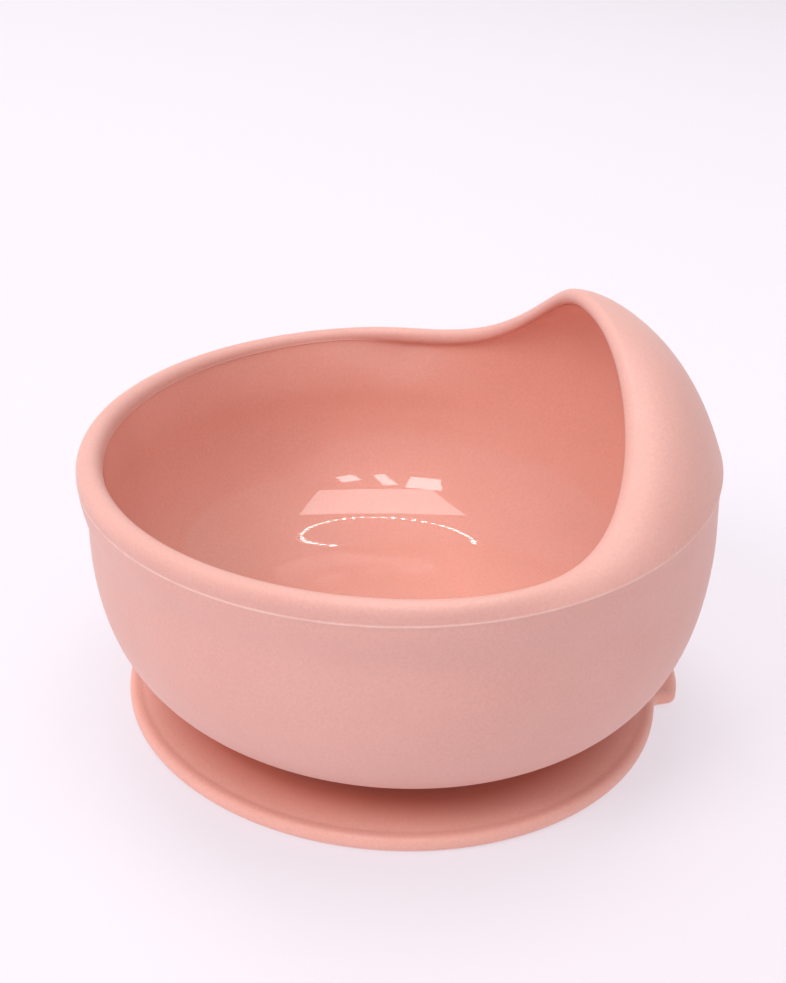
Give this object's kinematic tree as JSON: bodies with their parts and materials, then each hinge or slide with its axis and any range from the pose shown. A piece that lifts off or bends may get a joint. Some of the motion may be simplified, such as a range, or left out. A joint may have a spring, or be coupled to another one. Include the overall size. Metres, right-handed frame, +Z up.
{
  "type": "suction bowl",
  "caption": "Soft silicone feeding bowl with a rounded rim that climbs into a curled scoop hood, on a broad suction foot with a peel-off release tab.",
  "frame": {"origin": "middle of the suction foot, on the table", "axes": "+Z up, +X towards the scoop hood and the release tab, +Y completes the right-handed frame"},
  "size_m": [0.1261, 0.1298, 0.0839],
  "materials": {
    "bowl_silicone": "soft-touch matte outside, polished inside",
    "foot_silicone": "satin"
  },
  "bodies": {
    "foot": {"suction_lip": "foot_silicone", "suction_web": "foot_silicone"},
    "bowl": {"bowl": "bowl_silicone", "neck": "foot_silicone"},
    "tab": {"release_tab": "foot_silicone"}
  },
  "joints": [
    {"name": "press_down", "type": "slide", "parent": "foot", "child": "bowl", "axis": [0, 0, -1], "range_m": [0, 0.0016], "stiffness_N_per_m": 20000, "deforming": ["suction_web"]},
    {"name": "peel_tab", "type": "hinge", "parent": "foot", "child": "tab", "pos_m": [0.047, 0, 0.0032], "axis": [0, -1, 0], "range_deg": [0, 45], "stiffness_Nm_per_rad": 0.03}
  ]
}
